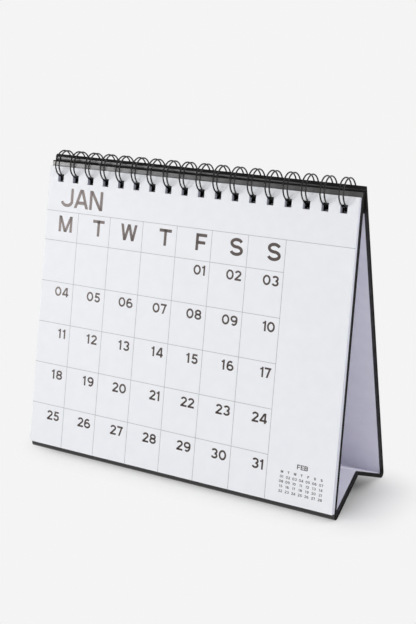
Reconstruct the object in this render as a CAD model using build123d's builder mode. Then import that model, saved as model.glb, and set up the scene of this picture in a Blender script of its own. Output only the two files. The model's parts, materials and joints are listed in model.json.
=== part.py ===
"""Easel desk calendar: a folded board stand, a block of month leaves and a twin-loop wire binding.

Millimetres. +X runs along the binding, -Y is the side that is read, +Z is up.
The origin is the middle of the box that the calendar fills, on the table.
"""
from math import acos, asin, atan2, cos, degrees, hypot, radians, sin, sqrt
import os

from build123d import *

# Twin-loop wire, bought in a standard pitch of two loops to the inch
loops = 18
pitch = 12.7
wire = 1.1
loop_radius = 9.1
strand_gap = 2.9
ring_runs = 15
tip_reach = 0.7
link_clearance = 0.6
tip_clearance = 0.35

# Stand: one covered board, folded at its front foot, its ridge and its back foot
end_margin = 3.7
board = 2.5
hole_height = 189.0
front_rise = 1.2
back_rise = 3.8
front_lean = 10.3
base_front_rise = 28.4
base_back_rise = 24.0
foot_span = 70.75
crease = 0.5
foot_flat = 0.1
top_gap = 0.8
top_round = 0.9
end_bevel = 0.5

# Punched holes, square
hole_clearance = 0.4
seat_clearance = 0.45
ring_back = 0.3

# Leaves, taken as one block
page_block = 3.0
page_gap = 0.15
page_drop = 3.4
page_foot = 1.6
page_side = 0.5

# Paper that lines the inside of the stand
lining = 0.3
lining_side = 1.7
lining_drop = 18.0

case_width = loops * pitch + 2 * end_margin
fold_radius = crease + board
hole = strand_gap + wire + 2 * hole_clearance
page_face = page_gap + page_block

# Height of the loops' centre up the front panel: the wire just clears the top of the holes in the first leaf
face_offset = page_face + ring_back
face_rise = sqrt(loop_radius**2 - face_offset**2)
wire_half = wire / 2 * loop_radius / face_rise
ring_height = hole_height + hole / 2 - seat_clearance - wire_half + face_rise
front_panel = ring_height + front_rise
page_width = case_width - 2 * page_side
page_height = front_panel - page_drop - page_foot


def unit(angle):
    """Direction in the side view: 0 degrees is +Y and 90 degrees is +Z."""
    return Vector(cos(radians(angle)), sin(radians(angle)))


def in_side_view(point, x=0):
    """Point of the side view, taken x along the binding."""
    return (x, point.X, point.Y)


def corner(centre, normal_a, normal_b):
    """Point where the two lines that touch a fold's circle meet."""
    return centre + (normal_a + normal_b) * (fold_radius / (1 + normal_a.dot(normal_b)))


def on_line(start, direction, other, across):
    """Point on a line where it meets the line through other, whose normal is across."""
    return start + direction * ((other - start).dot(across) / direction.dot(across))


# Side view of the stand, from its two feet upwards
front_reach = (fold_radius + page_face) * cos(radians(front_lean)) - page_foot * sin(radians(front_lean))
centre_shift = (front_reach - fold_radius) / 2
foot_height = fold_radius - foot_flat
front_foot = Vector(centre_shift - foot_span / 2, foot_height)
back_foot = Vector(centre_shift + foot_span / 2, foot_height)
front_out = unit(180 - front_lean)
front_up = unit(90 - front_lean)
front_start = front_foot + front_out * fold_radius
front_top = front_start + front_up * front_panel
ring_centre = front_start + front_up * ring_height - front_out * ring_back

# The back panel leans until its inside stands off the front panel's top edge by the gap
inner_top = front_top - front_out * board - back_foot
back_lean = degrees(
    atan2(inner_top.Y, inner_top.X)
    - acos((fold_radius - board - top_gap) / hypot(inner_top.X, inner_top.Y))
)
back_out = unit(back_lean)
back_up = unit(90 + back_lean)
back_start = back_foot + back_out * fold_radius

# Holes in the back panel are centred on the wire that goes through them
from_ring = ring_centre - back_start
back_depth = -from_ring.dot(back_out)
outer_drop = sqrt(loop_radius**2 - back_depth**2)
inner_drop = sqrt(loop_radius**2 - (back_depth - board)**2)
ring_up_back = from_ring.dot(back_up)
back_hole_height = ring_up_back - (outer_drop + inner_drop) / 2
back_top = back_start + back_up * (ring_up_back + back_rise)

# Underside of the base: two slopes that meet under the ridge
front_under = unit(base_front_rise - 90)
back_under = unit(-90 - base_back_rise)
front_corner = corner(front_foot, front_out, front_under)
back_corner = corner(back_foot, back_out, back_under)
ridge = on_line(front_corner, unit(base_front_rise), back_corner, back_under)
fold_radii = [fold_radius, crease, fold_radius]

# Planes of the two outer faces: local X along the binding, local Y up the panel
front_plane = Plane(origin=in_side_view(front_start), x_dir=(1, 0, 0), z_dir=in_side_view(front_out))
back_plane = Plane(origin=in_side_view(back_start), x_dir=(-1, 0, 0), z_dir=in_side_view(back_out))


def fold_line(drop):
    """Outside of the folded board, from below the front top edge round to the back one."""
    FilletPolyline(
        front_top - front_up * drop,
        front_corner,
        ridge,
        back_corner,
        back_top - back_up * drop,
        radius=fold_radii,
    )


def hole_row(plane, middle, depth):
    """Cuts the row of square holes through a sheet, from its outer face inwards."""
    with BuildSketch(plane) as row:
        with Locations((0, middle)):
            with GridLocations(pitch, 0, loops, 1):
                Rectangle(hole, hole)
    extrude(row.sketch, amount=-depth, mode=Mode.SUBTRACT)


# Stand
with BuildPart() as case:
    with BuildSketch(Plane.YZ):
        with BuildLine():
            fold_line(0)
            offset(amount=board, side=Side.LEFT)
        make_face()
    extrude(amount=case_width / 2, both=True)
    top_faces = case.faces().filter_by(Plane.XY, tolerance=15).sort_by(Axis.Z)[-2:]
    fillet(top_faces.edges().filter_by(Axis.X), radius=top_round)
    chamfer(case.faces().filter_by(Axis.X).edges(), length=end_bevel)
    split(bisect_by=Plane.XY, keep=Keep.TOP)
    hole_row(front_plane, hole_height, board)
    hole_row(back_plane, back_hole_height, board)
case.part.label = "case"

# Lining paper
with BuildPart() as lining_sheet:
    with BuildSketch(Plane.YZ):
        with BuildLine():
            fold_line(lining_drop)
            offset(amount=board + lining, side=Side.LEFT)
        make_face()
        with BuildLine():
            fold_line(lining_drop)
            offset(amount=board, side=Side.LEFT)
        make_face(mode=Mode.SUBTRACT)
    extrude(amount=case_width / 2 - lining_side, both=True)
lining_sheet.part.label = "lining"

# Leaves
with BuildPart() as page_stack:
    with BuildSketch(front_plane.offset(page_gap)):
        with Locations((0, page_foot)):
            Rectangle(page_width, page_height, align=(Align.CENTER, Align.MIN))
    extrude(amount=page_block)
    hole_row(front_plane.offset(page_face), hole_height, page_block)
page_stack.part.label = "page_block"

# The wire's seam is in the space between the panels: links next to the back one, hairpin tips in front of them
link_room = degrees((wire / 2 + link_clearance) / loop_radius)
tip_room = degrees((wire + tip_clearance) / loop_radius)
tip_turn = degrees(tip_reach / loop_radius)
root_angle = back_lean + degrees(asin((back_depth - board) / loop_radius)) - link_room
tip_angle = root_angle - tip_room

# One finger of the wire, from half a link, round both strands, to half the next link


def on_ring(x, angle):
    """Point of the loop, angle counted from straight down towards the back."""
    return in_side_view(ring_centre + unit(angle - 90) * loop_radius, x)


turn = 360 - tip_room - tip_turn
steps = [root_angle + turn * i / ring_runs for i in range(ring_runs + 1)]
half_gap = strand_gap / 2
finger_path = [on_ring(-pitch / 2, root_angle)]
finger_path += [on_ring(-half_gap, angle) for angle in steps]
finger_path += [on_ring(side * half_gap / 2, tip_angle) for side in (-1, 1)]
finger_path += [on_ring(half_gap, angle) for angle in reversed(steps)]
finger_path += [on_ring(pitch / 2, root_angle)]

with BuildPart() as finger:
    with BuildLine():
        Polyline(*finger_path)
    with BuildSketch(Plane(origin=finger_path[0], z_dir=(1, 0, 0))):
        RegularPolygon(wire / 2, 6)
    sweep(transition=Transition.RIGHT)

with BuildPart() as binding:
    with GridLocations(pitch, 0, loops, 1):
        add(finger.part)
binding.part.label = "binding_wire"

os.makedirs("parts", exist_ok=True)
export_step(case.part, "parts/case.step")
export_step(lining_sheet.part, "parts/lining.step")
export_step(page_stack.part, "parts/page_block.step")
export_step(binding.part, "parts/binding_wire.step")

print("back lean", back_lean)
print("ring centre", ring_centre.X, ring_centre.Y)
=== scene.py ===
"""Looks of the easel desk calendar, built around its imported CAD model.

Sizes are in millimetres, and MM turns them into metres. Lamps, camera and floor are in metres.
"""
import json
import math
import random

import bmesh
import bpy
from mathutils import Matrix, Vector


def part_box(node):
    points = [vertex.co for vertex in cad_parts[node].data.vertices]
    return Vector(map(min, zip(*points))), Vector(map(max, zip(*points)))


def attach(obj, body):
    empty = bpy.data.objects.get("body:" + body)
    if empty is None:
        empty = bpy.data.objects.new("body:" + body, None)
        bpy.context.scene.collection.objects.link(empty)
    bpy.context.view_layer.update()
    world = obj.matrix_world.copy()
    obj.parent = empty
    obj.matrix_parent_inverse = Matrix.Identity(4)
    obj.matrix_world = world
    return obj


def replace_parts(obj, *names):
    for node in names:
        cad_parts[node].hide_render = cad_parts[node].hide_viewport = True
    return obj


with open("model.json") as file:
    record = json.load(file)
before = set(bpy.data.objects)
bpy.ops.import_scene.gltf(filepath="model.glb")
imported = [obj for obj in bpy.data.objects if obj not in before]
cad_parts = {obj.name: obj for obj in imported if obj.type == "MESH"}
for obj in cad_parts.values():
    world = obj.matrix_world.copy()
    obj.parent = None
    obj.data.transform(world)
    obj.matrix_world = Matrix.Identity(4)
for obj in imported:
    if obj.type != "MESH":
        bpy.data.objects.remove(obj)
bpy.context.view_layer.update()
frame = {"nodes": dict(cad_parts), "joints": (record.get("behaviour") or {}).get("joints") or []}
random.seed(7)

MM = 0.001

# Sizes of the CAD model
LEAN, BACK_LEAN = math.radians(10.3), math.radians(10.133)
FOLD_RADIUS, FOOT_FLAT = 3.0, 0.1
BOARD, END_BEVEL = 2.5, 0.5
LOOPS, PITCH, STRAND_GAP, LOOP_RADIUS = 18, 12.7, 2.9, 9.1
ROOT_ANGLE, TIP_ROOM = 24.0, 9.1
HOLE, HOLE_HEIGHT = 4.8, 189.0
PAGE_WIDTH, PAGE_FOOT, PAGE_TOP = 235.0, 1.6, 196.58
PAGE_GAP, PAGE_BLOCK = 0.15, 3.0
PAGE_FACE = PAGE_GAP + PAGE_BLOCK

# The outer face of each panel: where it starts above its foot, and its directions up and out
CASE_LOW, CASE_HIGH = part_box("case")
FOOT_HEIGHT = FOLD_RADIUS - FOOT_FLAT
UP = Vector((0, math.sin(LEAN), math.cos(LEAN)))
OUT = Vector((0, -math.cos(LEAN), math.sin(LEAN)))
START = Vector((0, CASE_LOW.y / MM + FOLD_RADIUS, FOOT_HEIGHT)) + OUT * FOLD_RADIUS
BACK_UP = Vector((0, -math.sin(BACK_LEAN), math.cos(BACK_LEAN)))
BACK_OUT = Vector((0, math.cos(BACK_LEAN), math.sin(BACK_LEAN)))
BACK_START = Vector((0, CASE_HIGH.y / MM - FOLD_RADIUS, FOOT_HEIGHT)) + BACK_OUT * FOLD_RADIUS
RING = Vector(frame["joints"][0]["pos_m"]) / MM


def put(x, t, n):
    """Point in metres: x along the binding, t up the front panel, n out from its face."""
    return (START + Vector((x, 0, 0)) + UP * t + OUT * n) * MM


def piece(name, mesh, material, body):
    """New mesh piece that rides on a body."""
    mesh.materials.append(material)
    made = bpy.data.objects.new(name, mesh)
    bpy.context.scene.collection.objects.link(made)
    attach(made, body)
    return made


# Materials
NOISE_DETAIL, RAMP_PLACES = 4.0, (0.3, 0.7)
INK_TINT = (1, 0.89, 0.86, 1)


def new_material(name, roughness, specular):
    """Principled material, with its node tree and its shader."""
    material = bpy.data.materials.new(name)
    material.use_nodes = True
    tree = material.node_tree
    shader = tree.nodes["Principled BSDF"]
    shader.inputs["Roughness"].default_value = roughness
    shader.inputs["Specular IOR Level"].default_value = specular
    return material, tree, shader


def noise(tree, scale):
    """Noise in the object's own metres."""
    place = tree.nodes.new("ShaderNodeTexCoord")
    texture = tree.nodes.new("ShaderNodeTexNoise")
    texture.inputs["Scale"].default_value = scale
    texture.inputs["Detail"].default_value = NOISE_DETAIL
    tree.links.new(place.outputs["Object"], texture.inputs["Vector"])
    return texture.outputs["Fac"]


def wander(tree, factor, low, high, shader):
    """Base colour that wanders between two colours."""
    ramp = tree.nodes.new("ShaderNodeValToRGB")
    for element, position, colour in zip(ramp.color_ramp.elements, RAMP_PLACES, (low, high)):
        element.position = position
        element.color = (*colour, 1)
    tree.links.new(factor, ramp.inputs["Fac"])
    tree.links.new(ramp.outputs["Color"], shader.inputs["Base Color"])


def relief(tree, height, strength, depth, shader):
    """Fine surface relief."""
    node = tree.nodes.new("ShaderNodeBump")
    node.inputs["Strength"].default_value = strength
    node.inputs["Distance"].default_value = depth
    tree.links.new(height, node.inputs["Height"])
    tree.links.new(node.outputs["Normal"], shader.inputs["Normal"])


def make_material(name, low, high, patch, roughness, specular, tooth=None):
    """Material whose colour wanders over patches; its tooth has a scale, a strength and a depth."""
    material, tree, shader = new_material(name, roughness, specular)
    wander(tree, noise(tree, patch), low, high, shader)
    if tooth:
        scale, strength, depth = tooth
        relief(tree, noise(tree, scale), strength, depth, shader)
    return material


COVER = make_material("cover_paper", (0.008, 0.0074, 0.0068), (0.014, 0.0128, 0.0116),
                      patch=900, roughness=0.3, specular=0.6, tooth=(2600, 0.25, 0.00006))
BOARD_END, BOARD_EDGE = (
    make_material(name, (0.007, 0.0065, 0.006), (0.011, 0.010, 0.0092),
                  patch=1600, roughness=0.6, specular=specular, tooth=(2600, 0.3, 0.00006))
    for name, specular in (("board_ends", 0.03), ("board_edges", 0.14)))
LINING = make_material("lining_paper", (0.81, 0.80, 0.895), (0.85, 0.84, 0.935),
                       patch=140, roughness=0.65, specular=0.3, tooth=(3800, 0.15, 0.00003))
LEAF = make_material("leaf_paper", (0.815, 0.822, 0.850), (0.835, 0.842, 0.868),
                     patch=140, roughness=0.6, specular=0.35, tooth=(3800, 0.06, 0.00003))
# Leaf sides and hole walls: the leaves' paper coloured darker and bluer, as painted shade in the holes and
# along the sides of the block
LEAF_SIDE_SHADE = make_material("leaf_sides_painted_shade", (0.61, 0.62, 0.71), (0.69, 0.70, 0.78),
                     patch=2400, roughness=0.7, specular=0.2)
INK = make_material("brown_grey_ink", (0.036, 0.023, 0.019), (0.045, 0.030, 0.025),
                    patch=1500, roughness=0.32, specular=0.5)
INK.node_tree.nodes["Principled BSDF"].inputs["Specular Tint"].default_value = INK_TINT
RULE = make_material("rule_ink", (0.40, 0.405, 0.42), (0.45, 0.455, 0.47),
                     patch=1500, roughness=0.6, specular=0.35)
COAT = make_material("wire_coat", (0.007, 0.0066, 0.0062), (0.013, 0.012, 0.011),
                     patch=700, roughness=0.25, specular=0.4, tooth=(1800, 0.08, 0.00004))

lining = frame["nodes"]["lining"]
lining.data.materials.clear()
lining.data.materials.append(LINING)


# Stand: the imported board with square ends; its top edge is raised in front, thinned and skewed at the back
END_ZONE = 1.1 * END_BEVEL
PANEL_ZONE = 1.5 * BOARD
FRONT_EDGE, FRONT_RISE = (195.0, 200.6), 0.5
SKEW_LOW, SKEW_HIGH = 0.4, 0.8
HEIGHT_REACH = 0.01
SHARP_ANGLE = math.radians(18)

# Heights up the back panel from which the board thins, each with what it loses per millimetre
THIN_STEPS = ((200.9, 0.372), (202.0, 0.6))

# Limits that tell the board's faces apart: places, an area and parts of a face's normal
END_REACH, TOP_EDGE, HOLE_WALL_AREA = 0.1, 199.0, 20.0
END_FACING, WALL_FACING, TOP_FACING = 0.9, 0.3, 0.45


def settled(point):
    """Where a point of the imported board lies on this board, in metres."""
    ahead = point / MM - START
    if FRONT_EDGE[0] < ahead.dot(UP) < FRONT_EDGE[1] and ahead.dot(OUT) > -PANEL_ZONE:
        return point + UP * (FRONT_RISE * MM)
    away = point / MM - BACK_START
    height, depth = away.dot(BACK_UP), away.dot(BACK_OUT)
    low, high = (start for start, _ in THIN_STEPS)
    if depth < -PANEL_ZONE or height < low - HEIGHT_REACH:
        return point
    thinned = sum(max(0, height - start) * slope for start, slope in THIN_STEPS)
    skew = SKEW_LOW + (SKEW_HIGH - SKEW_LOW) * min(1, (height - low) / (high - low))
    drop = skew * point.x / CASE_HIGH.x
    return point - BACK_OUT * (depth * thinned / BOARD * MM) - BACK_UP * (drop * MM)


def board_material(face):
    """Index of a board face's material: 0 covering, 1 end, 2 hole wall or top edge."""
    if abs(face.normal.x) > END_FACING and abs(face.center.x) > CASE_HIGH.x - END_REACH * MM:
        return 1
    facing = max(abs(face.normal.dot(way)) for way in (OUT, BACK_OUT))
    in_hole = face.area < HOLE_WALL_AREA * MM**2 and facing < WALL_FACING
    at_top = face.center.z > TOP_EDGE * MM and face.normal.z > TOP_FACING
    return 2 if in_hole or at_top else 0


def stand_board():
    """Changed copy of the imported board."""
    board = bmesh.new()
    board.from_mesh(frame["nodes"]["case"].data)
    for start, _ in THIN_STEPS:
        bmesh.ops.bisect_plane(board, geom=board.verts[:] + board.edges[:] + board.faces[:],
                               plane_co=(BACK_START + BACK_UP * start) * MM, plane_no=BACK_UP)
    for vertex in board.verts:
        if abs(vertex.co.x) > CASE_HIGH.x - END_ZONE * MM:
            vertex.co.x = math.copysign(CASE_HIGH.x, vertex.co.x)
        vertex.co = settled(vertex.co)
    mesh = bpy.data.meshes.new("stand_board")
    board.to_mesh(mesh)
    board.free()
    mesh.attributes.remove(mesh.attributes["custom_normal"])
    for polygon in mesh.polygons:
        polygon.use_smooth = True
    mesh.set_sharp_from_angle(angle=SHARP_ANGLE)
    mesh.materials.clear()
    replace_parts(piece("stand_board", mesh, COVER, "stand"), "case")
    mesh.materials.append(BOARD_END)
    mesh.materials.append(BOARD_EDGE)
    for polygon in mesh.polygons:
        polygon.material_index = board_material(polygon)


stand_board()


# Leaves: punched sheets, those under the first one slightly out of step and fanned
LEAVES, LEAF_GAP = 14, 0.012
ASIDE, LONGER = (-0.06, 0.06), (-0.25, 0.1)
FAN_FOOT, FAN_TOP = 0.45, -0.2
HOLE_DRIFT, HOLE_DROP = 0.33, 0.6
HOLE_ROW = 1
FACE_ON = 0.5


def leaf_columns():
    """Places across a leaf: its left edge, both sides of each hole, its right edge."""
    columns = [-PAGE_WIDTH / 2]
    for i in range(LOOPS):
        place = i - (LOOPS - 1) / 2
        middle = place * PITCH - place / (LOOPS / 2) * HOLE_DRIFT
        columns += [middle - HOLE / 2, middle + HOLE / 2]
    return columns + [PAGE_WIDTH / 2]


def punched_sheet(name, rows, heights, top, under):
    """Closed sheet between two levels: a row of places across for each height, and one row of holes."""
    wide = len(rows[0])
    level = wide * len(rows)
    vertices = [put(x, t, n) for n in (top, under) for row, t in zip(rows, heights) for x in row]
    cells = [(i, j) for j in range(len(rows) - 1) for i in range(wide - 1)
             if j != HOLE_ROW or i % 2 == 0]
    faces = []
    for i, j in cells:
        first = j * wide + i
        corners = [first, first + 1, first + 1 + wide, first + wide]
        faces += [corners, [k + level for k in reversed(corners)]]
        beside = ((i, j - 1), (i + 1, j), (i, j + 1), (i - 1, j))
        for a, b, cell in zip(corners, corners[1:] + corners[:1], beside):
            if cell not in cells:
                faces.append([a, a + level, b + level, b])
    mesh = bpy.data.meshes.new(name)
    mesh.from_pydata(vertices, [], faces)
    return mesh


def leaf(index):
    """One punched leaf, counted from the board."""
    step = PAGE_BLOCK / LEAVES
    top = PAGE_GAP + step * (index + 1)
    last = index == LEAVES - 1
    depth = 1 - (index + 1) / LEAVES
    aside = 0 if last else random.uniform(*ASIDE)
    longer = 0 if last else random.uniform(*LONGER)
    columns = leaf_columns()
    heights = [PAGE_FOOT + longer, HOLE_HEIGHT - HOLE / 2 - HOLE_DROP,
               HOLE_HEIGHT + HOLE / 2, PAGE_TOP + longer]
    rows = []
    for t in heights:
        shift = aside + depth * (FAN_FOOT + (FAN_TOP - FAN_FOOT) * t / PAGE_TOP)
        rows.append([columns[0] + shift] + columns[1:-1] + [columns[-1] + shift])
    mesh = punched_sheet(f"leaf_{index:02d}", rows, heights, top, top - step + LEAF_GAP)
    made = piece(mesh.name, mesh, LEAF, "pages")
    # Faces that don't face out (leaf sides and hole walls) take the darker paper of painted shade
    mesh.materials.append(LEAF_SIDE_SHADE)
    for polygon in mesh.polygons:
        polygon.material_index = int(abs(polygon.normal.dot(OUT)) < FACE_ON)
    if last:
        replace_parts(made, "page_block")


for index in range(LEAVES):
    leaf(index)


# Wire: one line of double loops that lean in towards the middle, a little thinner than the solid
WIRE, WIRE_SIDES = 1.0, 10
ROOT_BEND = 1.3
LEAN_IN, DRIFT, DRIFT_RUN = 0.5, 0.25, 4.0
BEND_STEPS, LOOP_STEPS = 6, 52


def finger_plan():
    """Half of a loop laid flat, from a link's middle to the hairpin's tip: (across, along)."""
    half = STRAND_GAP / 2
    reach = math.radians(360 - TIP_ROOM) * LOOP_RADIUS
    straight = reach - half - ROOT_BEND
    bend = [math.radians(90 / BEND_STEPS * i) for i in range(BEND_STEPS + 1)]
    plan = [(-PITCH / 2, 0), (-PITCH / 3, 0)]
    plan += [(-half - ROOT_BEND * (1 - math.sin(a)), ROOT_BEND * (1 - math.cos(a))) for a in bend]
    plan += [(-half, ROOT_BEND + straight * i / LOOP_STEPS) for i in range(1, LOOP_STEPS)]
    plan += [(-half * math.cos(a), reach - half + half * math.sin(a)) for a in bend]
    return plan


def wire_line():
    """Centre line of the whole wire."""
    half_plan = finger_plan()
    plan = half_plan + [(-x, s) for x, s in reversed(half_plan[:-1])]
    line = []
    for k in range(LOOPS):
        place = k - (LOOPS - 1) / 2
        inward = -place / (LOOPS / 2)
        for x, s in plan[1:] if k else plan:
            turn = s / LOOP_RADIUS
            a = math.radians(ROOT_ANGLE) + turn
            bend = inward * (DRIFT + LEAN_IN * (1 - math.cos(turn)) / 2) * min(1, s / DRIFT_RUN)
            line.append(RING + Vector((place * PITCH + x + bend,
                                       LOOP_RADIUS * math.sin(a), -LOOP_RADIUS * math.cos(a))))
    return line


def tube(name, line, radius, sides):
    """Mesh tube round a line, closed flat at both ends."""
    mesh = bpy.data.meshes.new(name)
    vertices, faces = [], []
    across = Vector((0, 0, 1))
    for i, point in enumerate(line):
        along = (line[min(i + 1, len(line) - 1)] - line[max(i - 1, 0)]).normalized()
        across = (across - along * across.dot(along)).normalized()
        other = along.cross(across)
        for k in range(sides):
            a = 2 * math.pi * k / sides
            vertices.append((point + (across * math.cos(a) + other * math.sin(a)) * radius) * MM)
    for i in range(len(line) - 1):
        for k in range(sides):
            a, b = i * sides + k, i * sides + (k + 1) % sides
            faces.append((a, b, b + sides, a + sides))
    faces.append(tuple(range(sides - 1, -1, -1)))
    faces.append(tuple(range(len(vertices) - sides, len(vertices))))
    mesh.from_pydata(vertices, [], faces)
    for polygon in mesh.polygons:
        polygon.use_smooth = len(polygon.vertices) == 4
    return mesh


wire = piece("wire_loops", tube("wire_loops", wire_line(), WIRE / 2, WIRE_SIDES), COAT, "stand")
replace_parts(wire, "binding_wire")


# Print: flat ribbons for the rules, and letters and figures of plain strokes on a height of 1
INK_LIFT = 0.03
OVERSHOOT = 0.02
AFTER_ONE = 0.11
SHARPEST_MITRE = 0.35
ARC_STEP = 12


def ribbon(points, width):
    """Corner pairs of a flat stroke along points, mitred at the bends."""
    pairs = []
    for i, (x, y) in enumerate(points):
        ways = []
        for a, b in ((i - 1, i), (i, i + 1)):
            if 0 <= a and b < len(points):
                way = Vector((points[b][0] - points[a][0], points[b][1] - points[a][1]))
                ways.append(way.normalized())
        normals = [Vector((-way.y, way.x)) for way in ways]
        mitre = sum(normals, Vector((0, 0))).normalized()
        mitre *= width / 2 / max(SHARPEST_MITRE, mitre.dot(normals[0]))
        pairs.append(((x + mitre.x, y + mitre.y), (x - mitre.x, y - mitre.y)))
    return pairs


def arc(x, y, rx, ry, start, end):
    """Points on an ellipse, in degrees."""
    steps = max(3, int(abs(end - start) / ARC_STEP))
    turns = [math.radians(start + (end - start) * i / steps) for i in range(steps + 1)]
    return [(x + rx * math.cos(a), y + ry * math.sin(a)) for a in turns]


def slant(x0, y0, x1, y1, w):
    """Corner pairs of a sloping stroke that is cut flat at both ends."""
    half = w / 2 * math.hypot(x1 - x0, y1 - y0) / abs(y1 - y0)
    return [((x0 - half, y0), (x0 + half, y0)), ((x1 - half, y1), (x1 + half, y1))]


def letter_strokes(letter, w):
    """Width and strokes of a capital with cap height 1 and stroke width w."""
    h = w / 2
    top, mid, low = 1 - h, 0.5, h
    edge = w * 0.58
    if letter == "J":
        wide, r = 0.76, 0.32
        hook = arc(wide - h - r, r, r, r - h, 0, -172)
        return wide, [ribbon([(wide - h, 1)] + hook, w)]
    if letter == "A":
        wide, bar = 0.94, 0.29
        return wide, [slant(edge, 0, wide / 2 - h * 0.3, 1, w),
                      slant(wide - edge, 0, wide / 2 + h * 0.3, 1, w),
                      ribbon([(0.22, bar), (wide - 0.22, bar)], w)]
    if letter == "N":
        wide = 0.84
        return wide, [ribbon([(h, 0), (h, 1)], w), ribbon([(wide - h, 0), (wide - h, 1)], w),
                      slant(edge, 1, wide - edge, 0, w)]
    if letter == "M":
        wide = 1.03
        return wide, [ribbon([(h, 0), (h, 1)], w), ribbon([(wide - h, 0), (wide - h, 1)], w),
                      slant(edge, 1, wide / 2, 0, w), slant(wide - edge, 1, wide / 2, 0, w)]
    if letter == "T":
        wide = 0.86
        return wide, [ribbon([(0, top), (wide, top)], w), ribbon([(wide / 2, 0), (wide / 2, 1)], w)]
    if letter == "W":
        wide, foot = 1.22, 0.32
        return wide, [slant(edge, 1, foot, 0, w), slant(foot, 0, wide / 2, 1, w),
                      slant(wide / 2, 1, wide - foot, 0, w), slant(wide - foot, 0, wide - edge, 1, w)]
    if letter == "F":
        wide, bar = 0.74, 0.47
        return wide, [ribbon([(h, 0), (h, 1)], w), ribbon([(0, top), (wide, top)], w),
                      ribbon([(0, bar), (0.65, bar)], w)]
    if letter == "E":
        wide = 0.74
        bars = ((top, wide), (mid, 0.68), (low, wide))
        return wide, [ribbon([(h, 0), (h, 1)], w)] + [ribbon([(0, y), (reach, y)], w) for y, reach in bars]
    if letter == "B":
        wide, straight, r = 0.8, 0.5, (top - mid) / 2
        bowls = [[(0, y + r), (straight, y + r)]
                 + arc(straight, y, wide - straight - h, r, 90, -90)[1:] + [(0, y - r)]
                 for y in (mid + r, mid - r)]
        return wide, [ribbon(line, w) for line in [[(h, 0), (h, 1)]] + bowls]
    r, middle = (top - low) / 4 + OVERSHOOT / 2, 0.44
    return 0.88, [ribbon(arc(middle, mid + r, middle - h - 0.02, r, 18, 270)
                         + arc(middle, mid - r, middle - h, r, 90, -165)[1:], w)]


def figure_strokes(figure, w):
    """Width and strokes of a figure with height 1 and stroke width w."""
    h = w / 2
    top, mid, low = 1 - h, 0.5, h
    r = (top - low) / 4
    if figure == "0":
        return 0.84, [ribbon(arc(0.42, mid, 0.42 - h, mid - h, 90, 450), w)]
    if figure == "1":
        return 0.36, [ribbon([(0.36 - h, 0), (0.36 - h, 1)], w),
                      ribbon([(0.36 - h, 0.93), (0.22, 0.82), (0, 0.78)], w * 0.85)]
    if figure == "2":
        bowl = 0.3 - h
        return 0.72, [ribbon(arc(0.36, top - bowl, 0.36 - h, bowl, 172, -38) + [(h * 0.9, low)], w),
                      ribbon([(0, low), (0.72, low)], w)]
    if figure == "3":
        return 0.76, [ribbon(arc(0.38, mid + r + 0.01, 0.36 - h, r, 160, -80), w),
                      ribbon(arc(0.38, mid - r, 0.38 - h, r + 0.005, 85, -162), w)]
    if figure == "4":
        return 0.8, [ribbon([(0.6, 0), (0.6, 1)], w), slant(0.55, 1, 0.09, 0.25, w),
                     ribbon([(0, 0.25), (0.8, 0.25)], w)]
    if figure == "5":
        bowl = 0.335 - h
        return 0.74, [ribbon([(0.68, top), (0.13 + h, top), (0.07 + h, 0.47)], w),
                      ribbon(arc(0.37, low + bowl, 0.37 - h, bowl, 138, -160), w)]
    if figure in "69":
        wide, bowl = 0.79, 0.33 - h
        lines = [arc(wide / 2, low + bowl, wide / 2 - h, bowl, 90, 450),
                 arc(wide / 2, mid, wide / 2 - h, mid - h, 52, 180) + [(h, low + bowl)]]
        if figure == "9":
            lines = [[(wide - x, 1 - y) for x, y in line] for line in lines]
        return wide, [ribbon(line, w) for line in lines]
    if figure == "7":
        return 0.7, [ribbon([(0, top), (0.7, top)], w), slant(0.59, 1, 0.28, 0, w)]
    return 0.78, [ribbon(arc(0.39, mid + r + 0.01, 0.36 - h, r - 0.01, 90, 450), w),
                  ribbon(arc(0.39, mid - r + 0.01, 0.39 - h, r + 0.01, 90, 450), w)]


def word(strokes, text, x, t, height, weight, space=0.11, align="left"):
    """Adds a word's strokes in millimetres, its baseline at t."""
    shapes = [(figure_strokes if letter.isdigit() else letter_strokes)(letter, weight) for letter in text]
    gaps = [space + AFTER_ONE * (a == "1" and b not in "07") for a, b in zip(text, text[1:])] + [0]
    width = height * (sum(wide for wide, _ in shapes) + sum(gaps))
    x -= {"left": 0, "middle": width / 2, "right": width}[align]
    for (wide, lines), gap in zip(shapes, gaps):
        for line in lines:
            strokes.append([tuple((x + px * height, t + py * height) for px, py in pair) for pair in line])
        x += (wide + gap) * height


def print_piece(name, strokes, ink):
    """Strokes as one flat piece on the first leaf."""
    vertices, faces = [], []
    for stroke in strokes:
        first = len(vertices)
        for left, right in stroke:
            vertices += [put(*left, PAGE_FACE + INK_LIFT), put(*right, PAGE_FACE + INK_LIFT)]
        faces += [(i, i + 1, i + 3, i + 2) for i in range(first, len(vertices) - 2, 2)]
    mesh = bpy.data.meshes.new(name)
    mesh.from_pydata(vertices, [], faces)
    piece(name, mesh, ink, "pages")


# Ruled grid: seven columns, and lines above and below the weekdays and each week
COLUMN, COLUMN_ONE, RULE_WIDTH = 26.8, -90.15, 0.36
LINES = [165.65, 145.1, 116.26, 87.4, 58.55, 29.7]
LEFT = -PAGE_WIDTH / 2
WEEK = "MTWTFSS"
columns = [COLUMN_ONE + COLUMN * i for i in range(len(WEEK))]

rules = [ribbon([(LEFT, LINES[0]), (-LEFT, LINES[0])], RULE_WIDTH)]
rules += [ribbon([(LEFT, t), (columns[-1], t)], RULE_WIDTH) for t in LINES[1:]]
rules += [ribbon([(x, LINES[0]), (x, PAGE_FOOT)], RULE_WIDTH) for x in columns]
print_piece("print_rules", rules, RULE)

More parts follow.
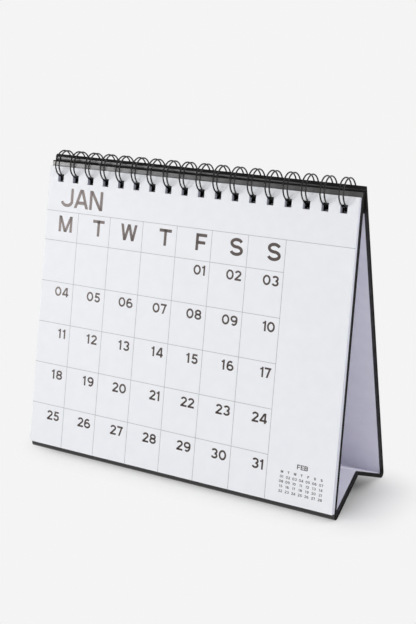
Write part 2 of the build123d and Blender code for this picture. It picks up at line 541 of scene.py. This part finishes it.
# Month and weekdays
MONTH_X, MONTH_BASE = -105.6, 169.05
MONTH_TYPE = {"height": 13.1, "weight": 0.17, "space": 0.06}
WEEKDAY_INSET, WEEKDAY_CREEP, WEEKDAY_BASE = 4.82, 0.31, 151.6
WEEKDAY_TYPE = {"height": 11.1, "weight": 0.185, "align": "right"}

heads = []
word(heads, "JAN", MONTH_X, MONTH_BASE, **MONTH_TYPE)
for column, letter in enumerate(WEEK):
    x = columns[column] - WEEKDAY_INSET + WEEKDAY_CREEP * column
    word(heads, letter, x, WEEKDAY_BASE, **WEEKDAY_TYPE)
print_piece("print_heads", heads, INK)

# Dates, whose rows and columns creep a little against the ruled grid
DAYS, FIRST_COLUMN = 31, 4
DATE_INSET, DATE_CREEP = 3.65, 0.14
DATE_DROP, DATE_SLIP = 9.4, 0.26
DATE_TYPE = {"height": 6.6, "weight": 0.19, "space": 0.12, "align": "right"}

dates = []
for day in range(1, DAYS + 1):
    row, column = divmod(FIRST_COLUMN + day - 1, len(WEEK))
    x = columns[column] - DATE_INSET + DATE_CREEP * column
    t = LINES[row + 1] - DATE_DROP - DATE_SLIP * row
    word(dates, f"{day:02d}", x, t, **DATE_TYPE)
print_piece("print_dates", dates, INK)

# Small next month
NEXT_DAYS, NEXT_COLUMN, NEXT_ROW = 28, 4.57, 3.06
NEXT_MONTH_X, NEXT_WEEKDAY_X, NEXT_DATE_X = 95.2, 81.4, 81.3
NEXT_MONTH_BASE, NEXT_WEEKDAY_BASE, NEXT_DATE_BASE = 24.7, 20.4, 17.2
NEXT_MONTH_TYPE = {"height": 3.0, "weight": 0.19, "space": 0.1, "align": "middle"}
NEXT_WEEKDAY_TYPE = {"height": 1.6, "weight": 0.23, "align": "middle"}
NEXT_DATE_TYPE = {"height": 1.7, "weight": 0.19, "space": 0.14, "align": "middle"}

small = []
word(small, "FEB", NEXT_MONTH_X, NEXT_MONTH_BASE, **NEXT_MONTH_TYPE)
for column, letter in enumerate(WEEK):
    word(small, letter, NEXT_WEEKDAY_X + NEXT_COLUMN * column, NEXT_WEEKDAY_BASE, **NEXT_WEEKDAY_TYPE)
for day in range(1, NEXT_DAYS + 1):
    row, column = divmod(day - 1, len(WEEK))
    x, t = NEXT_DATE_X + NEXT_COLUMN * column, NEXT_DATE_BASE - NEXT_ROW * row
    word(small, f"{day:02d}", x, t, **NEXT_DATE_TYPE)
print_piece("print_next_month", small, INK)


# Floor and world, in metres
BACKGROUND, FLOOR_SIZE = (0.905, 0.905, 0.905, 1), 40
FLOOR_COLOUR, OVERHEAD = (0.97, 0.97, 0.97, 1), (0.22, 0.225, 0.235, 1)
HORIZON, SKY = 0.05, 0.22
SHADOW_MIDDLE, SHADOW_HALF, SHADOW_FADE = (0.013, -0.002, 0), (0.103, 0.014, 0), 0.046


def seen_rays(tree):
    """1 for rays from the camera, from gloss and through glass."""
    path = tree.nodes.new("ShaderNodeLightPath")
    total = path.outputs["Is Camera Ray"]
    for name in ("Is Glossy Ray", "Is Transmission Ray"):
        larger = tree.nodes.new("ShaderNodeMath")
        larger.operation = "MAXIMUM"
        tree.links.new(total, larger.inputs[0])
        tree.links.new(path.outputs[name], larger.inputs[1])
        total = larger.outputs["Value"]
    return total


def shadow_fade(tree):
    """0 in a box round the feet, rising to 1 at the fade's width outside it."""
    place = tree.nodes.new("ShaderNodeNewGeometry").outputs["Position"]
    for operation, value in (("SUBTRACT", SHADOW_MIDDLE), ("ABSOLUTE", None), ("SUBTRACT", SHADOW_HALF),
                             ("MAXIMUM", (0, 0, 0)), ("LENGTH", None)):
        step = tree.nodes.new("ShaderNodeVectorMath")
        step.operation = operation
        if value:
            step.inputs[1].default_value = value
        tree.links.new(place, step.inputs[0])
        place = step.outputs["Value" if operation == "LENGTH" else "Vector"]
    fade = tree.nodes.new("ShaderNodeMapRange")
    fade.interpolation_type = "SMOOTHSTEP"
    fade.inputs["From Max"].default_value = SHADOW_FADE
    tree.links.new(place, fade.inputs["Value"])
    return fade.outputs["Result"]


def stage_floor():
    """Pale floor that keeps the shadow near the calendar and fades to plain white."""
    bpy.ops.mesh.primitive_plane_add(size=FLOOR_SIZE)
    floor = bpy.context.object
    floor.name = "floor"
    material = bpy.data.materials.new("floor")
    material.use_nodes = True
    tree = material.node_tree
    tree.nodes.clear()
    out = tree.nodes.new("ShaderNodeOutputMaterial")
    diffuse = tree.nodes.new("ShaderNodeBsdfDiffuse")
    diffuse.inputs["Color"].default_value = FLOOR_COLOUR
    plain = tree.nodes.new("ShaderNodeEmission")
    plain.inputs["Color"].default_value = BACKGROUND
    both = tree.nodes.new("ShaderNodeMath")
    both.operation = "MULTIPLY"
    mix = tree.nodes.new("ShaderNodeMixShader")
    tree.links.new(shadow_fade(tree), both.inputs[0])
    tree.links.new(seen_rays(tree), both.inputs[1])
    tree.links.new(both.outputs["Value"], mix.inputs["Fac"])
    tree.links.new(diffuse.outputs["BSDF"], mix.inputs[1])
    tree.links.new(plain.outputs["Emission"], mix.inputs[2])
    tree.links.new(mix.outputs["Shader"], out.inputs["Surface"])
    floor.data.materials.append(material)


def stage_world():
    """Studio: white at the horizon, dim overhead."""
    world = bpy.data.worlds.new("world")
    bpy.context.scene.world = world
    world.use_nodes = True
    tree = world.node_tree
    place = tree.nodes.new("ShaderNodeTexCoord")
    split = tree.nodes.new("ShaderNodeSeparateXYZ")
    ramp = tree.nodes.new("ShaderNodeValToRGB")
    low, high = ramp.color_ramp.elements
    low.position, low.color = HORIZON, BACKGROUND
    high.position, high.color = SKY, OVERHEAD
    tree.links.new(place.outputs["Generated"], split.inputs["Vector"])
    tree.links.new(split.outputs["Z"], ramp.inputs["Fac"])
    tree.links.new(ramp.outputs["Color"], tree.nodes["Background"].inputs["Color"])


# Lamps: name, place, target, size and power, in metres and watts
LAMPS = (
    ("key", (-0.99, -1.02, 0.25), (0, 0, 0.12), (0.22, 0.45), 6.4),
    ("front", (-0.58, -1.37, 0.5), (0, 0, 0.12), (1.2, 0.4), 3.2),
    ("top", (-0.1, -0.3, 1.65), (0, 0, 0), (1.8, 1.8), 8.5),
    ("fill", (0.95, -0.45, 0.35), (0, 0, 0.1), (0.8, 0.7), 2),
    ("rim", (0.75, 0.6, 0.5), (0.1, 0.02, 0.08), (0.7, 0.7), 4.5),
)


def softbox(name, place, target, size, power):
    """Soft rectangular lamp."""
    data = bpy.data.lights.new(name, "AREA")
    data.shape = "RECTANGLE"
    data.size, data.size_y = size
    data.energy = power
    lamp = bpy.data.objects.new(name, data)
    bpy.context.scene.collection.objects.link(lamp)
    lamp.location = place
    lamp.rotation_euler = (Vector(target) - Vector(place)).to_track_quat("-Z", "Y").to_euler()


# Camera: the photograph's height, focal length and middle in pixels, its angles, and its place in metres
PHOTO_HEIGHT, FOCAL, MIDDLE_Y = 624, 1227.33, 206.12
AZIMUTH, ELEVATION, ROLL = math.radians(31.042), math.radians(12.128), math.radians(-0.60)
CAMERA_PLACE = (0.412183, -0.672249, 0.348715)
SENSOR, CLIP_START = 36, 0.01


def photo_camera():
    """Camera at the photograph's place; the shift stands for its straightened verticals."""
    forward = Vector((-math.sin(AZIMUTH) * math.cos(ELEVATION), math.cos(AZIMUTH) * math.cos(ELEVATION),
                      -math.sin(ELEVATION)))
    level = forward.cross(Vector((0, 0, 1))).normalized()
    upright = level.cross(forward)
    right = level * math.cos(ROLL) + upright * math.sin(ROLL)
    up = upright * math.cos(ROLL) - level * math.sin(ROLL)
    data = bpy.data.cameras.new("camera")
    data.sensor_width = SENSOR
    data.lens = FOCAL * SENSOR / PHOTO_HEIGHT
    data.shift_y = (MIDDLE_Y - PHOTO_HEIGHT / 2) / PHOTO_HEIGHT
    data.clip_start = CLIP_START
    camera = bpy.data.objects.new("camera", data)
    bpy.context.scene.collection.objects.link(camera)
    turn = Matrix((right, up, -forward)).transposed().to_4x4()
    camera.matrix_world = Matrix.Translation(CAMERA_PLACE) @ turn
    bpy.context.scene.camera = camera


stage_floor()
stage_world()
for lamp in LAMPS:
    softbox(*lamp)
photo_camera()
bpy.context.scene.view_settings.view_transform = "Standard"
